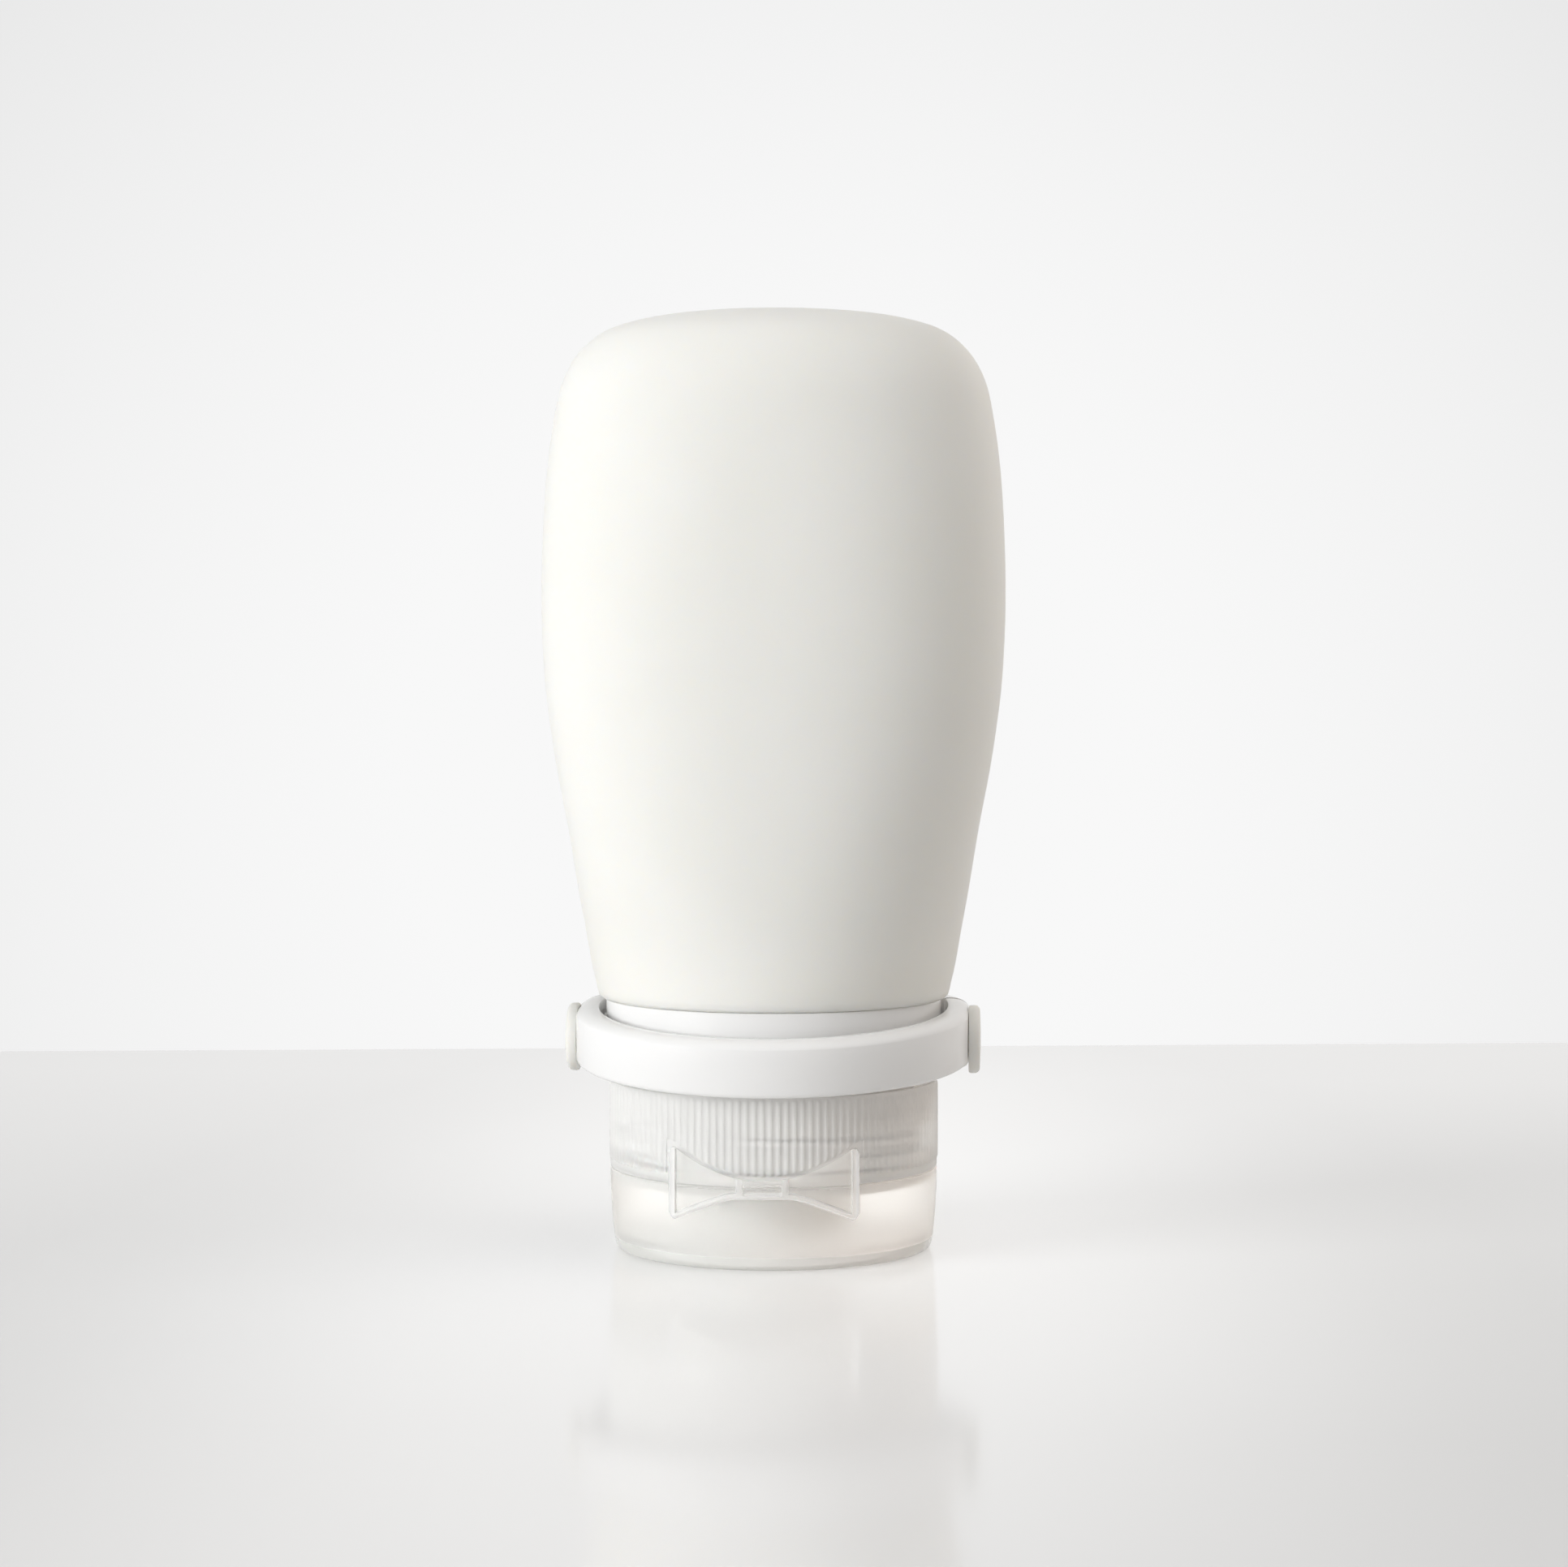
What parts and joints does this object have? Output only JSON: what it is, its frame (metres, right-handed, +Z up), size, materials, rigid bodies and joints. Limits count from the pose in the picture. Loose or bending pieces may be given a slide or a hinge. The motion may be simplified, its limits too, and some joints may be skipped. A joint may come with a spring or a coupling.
{
  "type": "silicone squeeze bottle",
  "caption": "Soft translucent squeeze bottle standing on its flip-lid screw cap, with a white neck collar and a pivoting half ring.",
  "frame": {"origin": "centre of the lid's outer face, on which the bottle stands", "axes": "+Z up along the bottle to the crown of the soft body, -Y towards the thumb tab, +X to the right seen from the tab"},
  "size_m": [0.0538, 0.0462, 0.1091],
  "materials": {
    "silicone": "satin, translucent",
    "white_plastic": "gloss",
    "button_plastic": "satin",
    "inner_plastic": "satin",
    "clear_plastic": "gloss, frosted translucent",
    "seal_rubber": "satin"
  },
  "bodies": {
    "bottle": {"squeeze_body": "silicone", "neck_insert": "inner_plastic", "neck_collar": "white_plastic", "pivot_button_left": "button_plastic", "pivot_button_right": "button_plastic"},
    "loop": {"swing_loop": "white_plastic"},
    "seal": {"cap_gasket": "seal_rubber"},
    "cap": {"cap_base": "clear_plastic", "drip_valve": "seal_rubber", "valve_retainer": "inner_plastic", "hinge_film": "clear_plastic"},
    "lid": {"flip_lid": "clear_plastic"}
  },
  "joints": [
    {"name": "loop_swing", "type": "hinge", "parent": "bottle", "child": "loop", "pos_m": [0, 0, 0.02435], "axis": [1, 0, 0], "range_deg": [-6.5, 3]},
    {"name": "cap_lift", "type": "slide", "parent": "bottle", "child": "seal", "axis": [0, 0, -1], "range_m": [0, 0.0095]},
    {"name": "cap_turn", "type": "hinge", "parent": "seal", "child": "cap", "pos_m": [0, 0, 0.0145], "axis": [0, 0, -1], "range_deg": [0, 810]},
    {"name": "lid_open", "type": "hinge", "parent": "cap", "child": "lid", "pos_m": [0, 0.0193, 0.0095], "axis": [1, 0, 0], "range_deg": [0, 150], "deforming": ["hinge_film"]}
  ],
  "couplings": [
    {"joint": "cap_lift", "follows": "cap_turn", "m_per_rad": 0.00066845}
  ]
}
